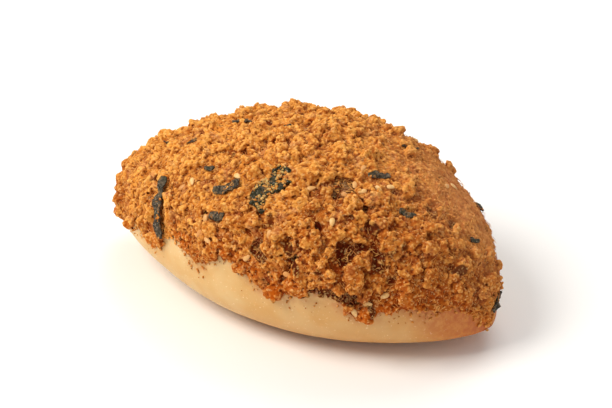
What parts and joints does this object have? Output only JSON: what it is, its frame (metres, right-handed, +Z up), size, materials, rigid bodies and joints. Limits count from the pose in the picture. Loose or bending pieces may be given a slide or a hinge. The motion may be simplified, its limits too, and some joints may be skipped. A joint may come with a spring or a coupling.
{
  "type": "bread roll",
  "caption": "Spindle-shaped soft bread roll, its top and sides coated with crumbly meat floss and scattered with nori shreds and sesame seeds; rests on a small flat spot.",
  "frame": {"origin": "the middle of the bottom of the roll's box, on the surface that the roll rests on", "axes": "+Z up, +X along the roll towards its lower and blunter tip, +Y across the roll, away from its barer side"},
  "size_m": [0.1468, 0.0872, 0.0595],
  "materials": {
    "bun_crust": "soft baked crust, pale gold, satin",
    "meat_floss": "dry, crumbly and fibrous, orange brown, matt",
    "nori": "dried seaweed, dark green black, slight sheen",
    "sesame": "smooth toasted hull, cream"
  },
  "bodies": {
    "root": {"bun": "bun_crust", "floss_coating": "meat_floss", "nori_shred_01": "nori", "nori_shred_02": "nori", "nori_shred_03": "nori", "nori_shred_04": "nori", "nori_shred_05": "nori", "nori_shred_06": "nori", "nori_shred_07": "nori", "nori_shred_08": "nori", "nori_shred_09": "nori", "nori_shred_10": "nori", "nori_shred_11": "nori", "nori_shred_12": "nori", "nori_shred_13": "nori", "nori_shred_14": "nori", "nori_shred_15": "nori", "nori_shred_16": "nori", "nori_shred_17": "nori", "nori_shred_18": "nori", "nori_shred_19": "nori", "sesame_seed_01": "sesame", "sesame_seed_02": "sesame", "sesame_seed_03": "sesame", "sesame_seed_04": "sesame", "sesame_seed_05": "sesame", "sesame_seed_06": "sesame", "sesame_seed_07": "sesame", "sesame_seed_08": "sesame", "sesame_seed_09": "sesame", "sesame_seed_10": "sesame", "sesame_seed_11": "sesame", "sesame_seed_12": "sesame", "sesame_seed_13": "sesame", "sesame_seed_14": "sesame", "sesame_seed_15": "sesame", "sesame_seed_16": "sesame", "sesame_seed_17": "sesame", "sesame_seed_18": "sesame", "sesame_seed_19": "sesame", "sesame_seed_20": "sesame", "sesame_seed_21": "sesame", "sesame_seed_22": "sesame", "sesame_seed_23": "sesame", "sesame_seed_24": "sesame", "sesame_seed_25": "sesame", "sesame_seed_26": "sesame", "sesame_seed_27": "sesame", "sesame_seed_28": "sesame", "sesame_seed_29": "sesame", "sesame_seed_30": "sesame"}
  },
  "joints": []
}
